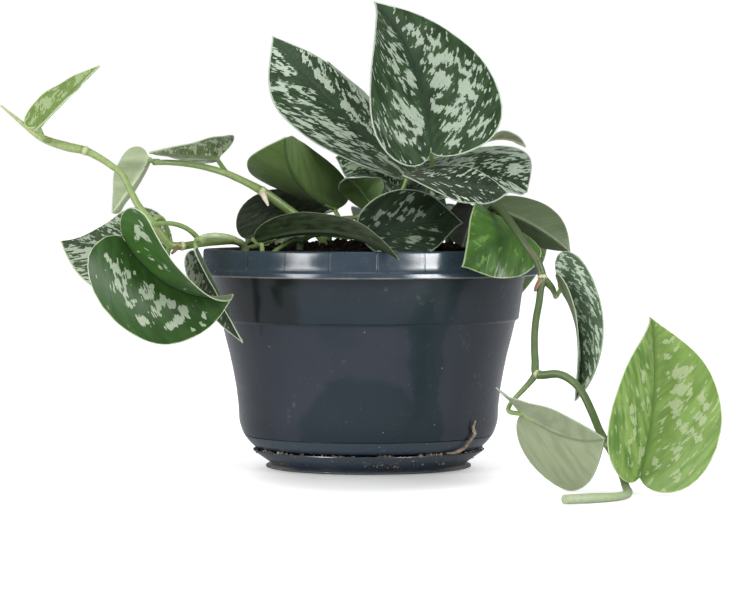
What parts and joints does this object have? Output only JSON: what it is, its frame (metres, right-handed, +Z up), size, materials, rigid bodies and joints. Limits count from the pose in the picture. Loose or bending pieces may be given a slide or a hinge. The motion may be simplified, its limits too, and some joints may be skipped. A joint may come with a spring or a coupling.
{
  "type": "potted satin pothos in a hanging-basket pot",
  "caption": "Satin pothos with silver-blotched heart-shaped leaves and trailing vines, planted in a dark plastic hanging-basket pot with a clip-on saucer.",
  "frame": {"origin": "centre of the saucer's flat underside, on the pot's axis, on the surface that it stands on", "axes": "+Z up along the pot's axis; -Y is the front of the plant; +X is the plant's right, seen from the front, the side on which the long vine hangs down to the surface"},
  "size_m": [0.3663, 0.3358, 0.2514],
  "materials": {
    "pot": "smooth moulded dark slate blue plastic, softly glossy, dusty near its foot",
    "saucer": "the pot's plastic, duller, with soil and root crumbs along its gap",
    "soil": "dark crumbly potting compost with a few pale grains",
    "stem": "fresh green, smooth, satin, with pale rings at the nodes",
    "leaf": "satin green blade with jagged silver-grey blotches and a thin pale margin; paler green beneath"
  },
  "bodies": {
    "root": {"pot": "pot", "saucer": "saucer", "soil": "soil", "vine_left": "stem", "vine_upper": "stem", "vine_short": "stem", "vine_right": "stem", "crown_1": "stem", "crown_2": "stem", "crown_3": "stem", "crown_4": "stem", "crown_5": "stem", "crown_6": "stem", "leaf_01": "leaf", "leaf_02": "leaf", "leaf_03": "leaf", "leaf_04": "leaf", "leaf_05": "leaf", "leaf_06": "leaf", "leaf_07": "leaf", "leaf_08": "leaf", "leaf_09": "leaf", "leaf_10": "leaf", "leaf_11": "leaf", "leaf_12": "leaf", "leaf_13": "leaf", "leaf_14": "leaf", "leaf_15": "leaf", "leaf_16": "leaf", "leaf_17": "leaf", "leaf_18": "leaf", "leaf_19": "leaf", "leaf_20": "leaf", "leaf_21": "leaf", "leaf_22": "leaf", "leaf_24": "leaf", "leaf_25": "leaf", "leaf_26": "leaf", "leaf_27": "leaf", "leaf_28": "leaf", "leaf_29": "leaf", "leaf_30": "leaf"}
  },
  "joints": []
}
